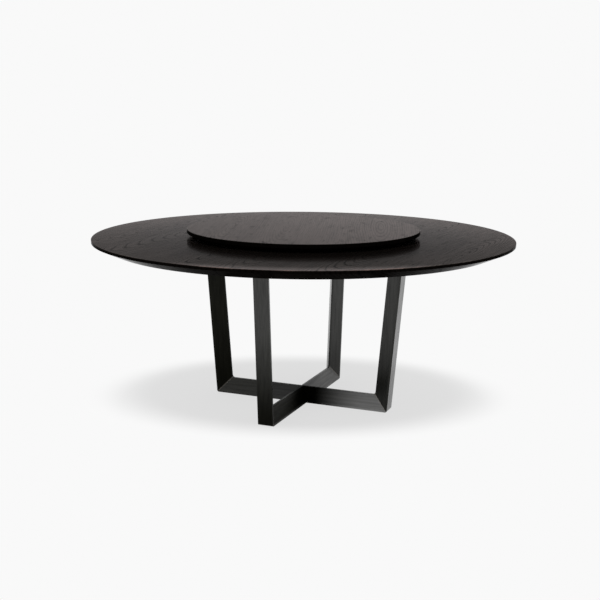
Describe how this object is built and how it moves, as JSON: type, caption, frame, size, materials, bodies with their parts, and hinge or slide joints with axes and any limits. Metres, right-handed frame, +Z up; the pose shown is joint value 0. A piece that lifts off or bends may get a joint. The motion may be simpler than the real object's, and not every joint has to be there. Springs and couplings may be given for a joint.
{
  "type": "round dining table with lazy susan",
  "caption": "Round dark-stained wooden dining table with a bevelled top, a turning centre disc on a hidden ball bearing and a crossed frame of mitred legs and floor rails.",
  "frame": {"origin": "on the floor under the centre of the top", "axes": "+Z up, the disc's axis; +X towards the right leg and +Y towards the back leg of the picture"},
  "size_m": [1.8, 1.7996, 0.774],
  "materials": {
    "stained_wood": "dark stained open grain, satin lacquer",
    "backing_veneer": "dark stained veneer, matt",
    "core_board": "raw board",
    "tenon_wood": "raw beech",
    "black_steel": "black powder coat",
    "zinc_steel": "zinc plated",
    "brass": "turned",
    "aluminium": "turned",
    "ball_steel": "polished",
    "cage_plastic": "moulded",
    "glide_plastic": "moulded"
  },
  "bodies": {
    "table": {"top_rim": "stained_wood", "top_veneer": "stained_wood", "leg_right": "stained_wood", "leg_back": "stained_wood", "leg_left": "stained_wood", "leg_front": "stained_wood", "rail_right": "stained_wood", "rail_back": "stained_wood", "rail_left": "stained_wood", "rail_front": "stained_wood", "top_backer": "backing_veneer", "top_core": "core_board", "tenon_right": "tenon_wood", "tenon_back": "tenon_wood", "tenon_left": "tenon_wood", "tenon_front": "tenon_wood", "leg_plate_right": "black_steel", "leg_plate_back": "black_steel", "leg_plate_left": "black_steel", "leg_plate_front": "black_steel", "cross_plate": "black_steel", "leg_bolts": "zinc_steel", "top_bolts": "zinc_steel", "cross_screws": "zinc_steel", "ring_washers": "zinc_steel", "ring_bolts": "zinc_steel", "leg_inserts": "brass", "top_inserts": "brass", "bearing_outer_ring": "aluminium", "glide_right": "glide_plastic", "glide_back": "glide_plastic", "glide_left": "glide_plastic", "glide_front": "glide_plastic"},
    "susan": {"susan_core": "core_board", "susan_rim": "stained_wood", "susan_veneer": "stained_wood", "susan_backer": "backing_veneer", "bearing_inner_ring": "aluminium", "ring_screws": "zinc_steel"},
    "ball_race": {"bearing_balls": "ball_steel", "ball_cage": "cage_plastic"}
  },
  "joints": [
    {"name": "susan_spin", "type": "hinge", "parent": "table", "child": "susan", "pos_m": [0, 0, 0.747], "axis": [0, 0, 1], "continuous": true},
    {"name": "ball_race_spin", "type": "hinge", "parent": "table", "child": "ball_race", "pos_m": [0, 0, 0.747], "axis": [0, 0, 1], "continuous": true}
  ],
  "couplings": [
    {"joint": "ball_race_spin", "follows": "susan_spin", "ratio": 0.49057}
  ]
}
